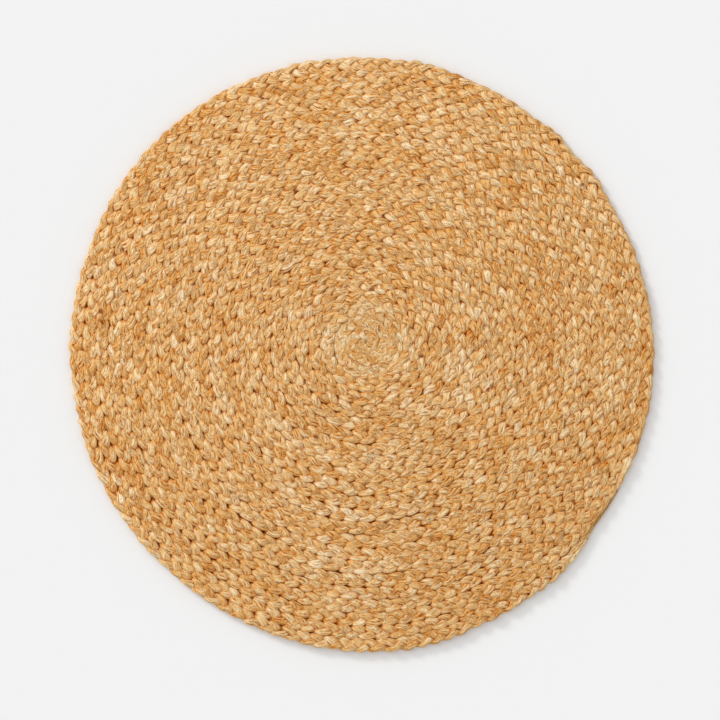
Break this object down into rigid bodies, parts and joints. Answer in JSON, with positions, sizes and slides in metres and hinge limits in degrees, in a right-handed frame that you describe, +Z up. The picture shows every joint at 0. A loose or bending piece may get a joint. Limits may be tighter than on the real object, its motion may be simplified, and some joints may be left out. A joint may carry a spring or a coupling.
{
  "type": "braided jute placemat",
  "caption": "Round jute placemat: a flat braid coiled from the centre outwards and sewn edge to edge, laid on a table under a plate.",
  "frame": {"origin": "centre of the round plan, on the surface that the mat lies on", "axes": "+Z up out of the mat's top; +Y to the top of the picture, the mat's longest width; +X to the picture's right"},
  "size_m": [0.3788, 0.3852, 0.0054],
  "materials": {
    "jute": "matte natural jute braid, pale straw to orange tan, slightly silky along the strands"
  },
  "bodies": {
    "root": {"braid_coil": "jute"}
  },
  "joints": []
}
